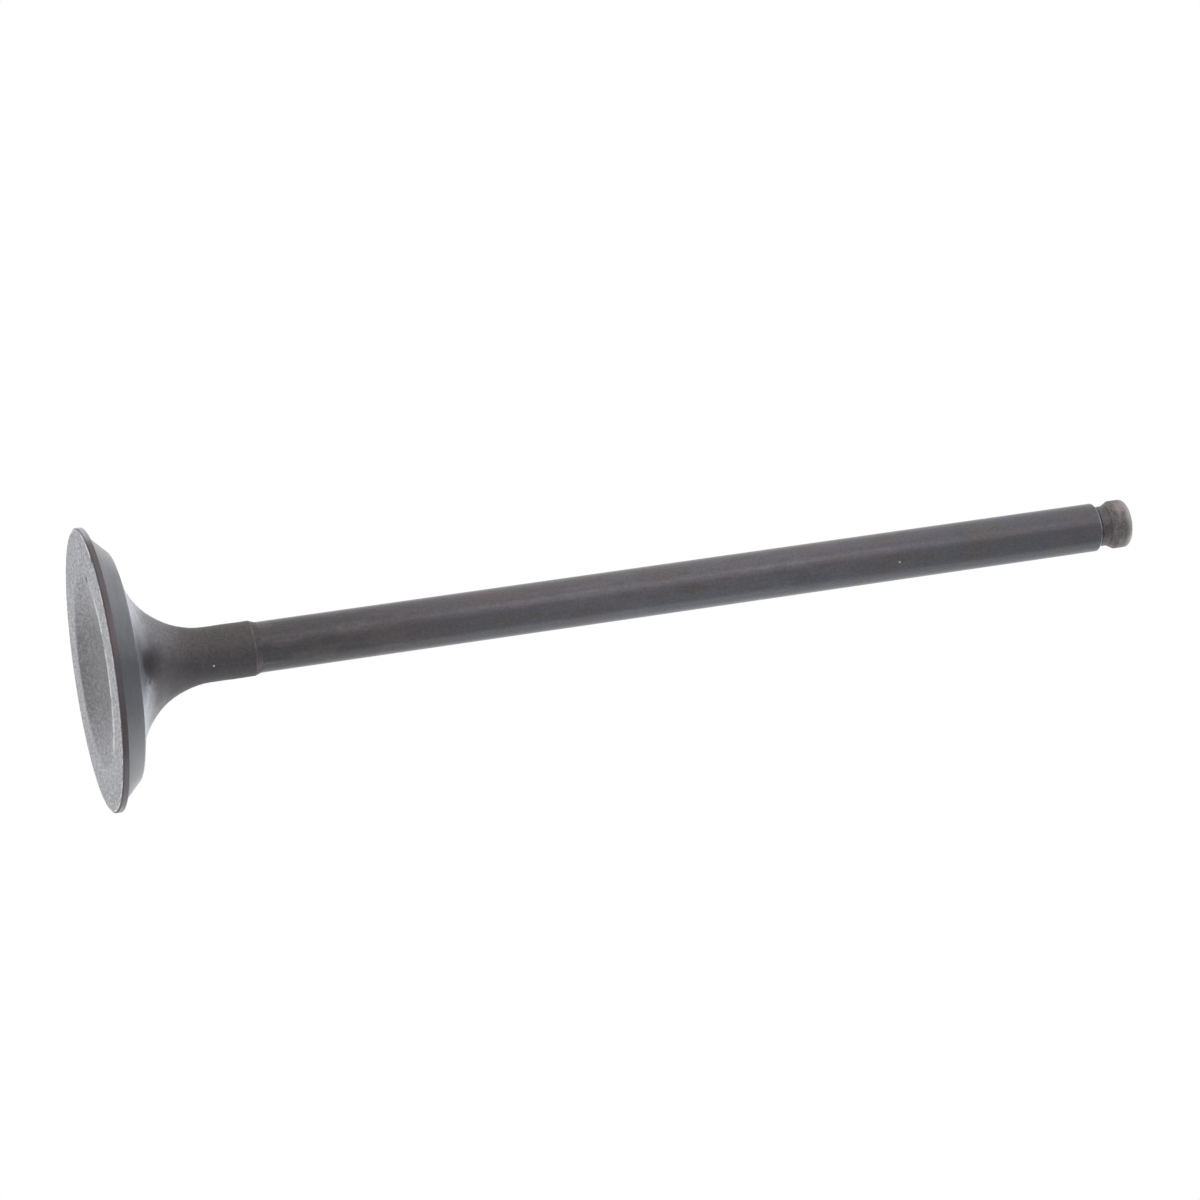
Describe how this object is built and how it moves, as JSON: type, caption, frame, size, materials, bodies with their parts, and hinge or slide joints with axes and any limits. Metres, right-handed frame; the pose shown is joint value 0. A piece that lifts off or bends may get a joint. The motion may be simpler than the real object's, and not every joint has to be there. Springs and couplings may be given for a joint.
{
  "type": "engine valve",
  "caption": "Round poppet valve with a dished head, conical seat, flared neck, long ground stem and a keeper groove below its tip.",
  "frame": {"origin": "centre of the head's flat combustion face", "axes": "+Z along the stem's axis, from the head to the tip; the valve is round about Z"},
  "size_m": [0.0386, 0.0386, 0.1515],
  "materials": {
    "valve_steel": "nitrided dark grey stem, forged neck, ground seat, satin combustion face"
  },
  "bodies": {
    "root": {"valve": "valve_steel"}
  },
  "joints": []
}
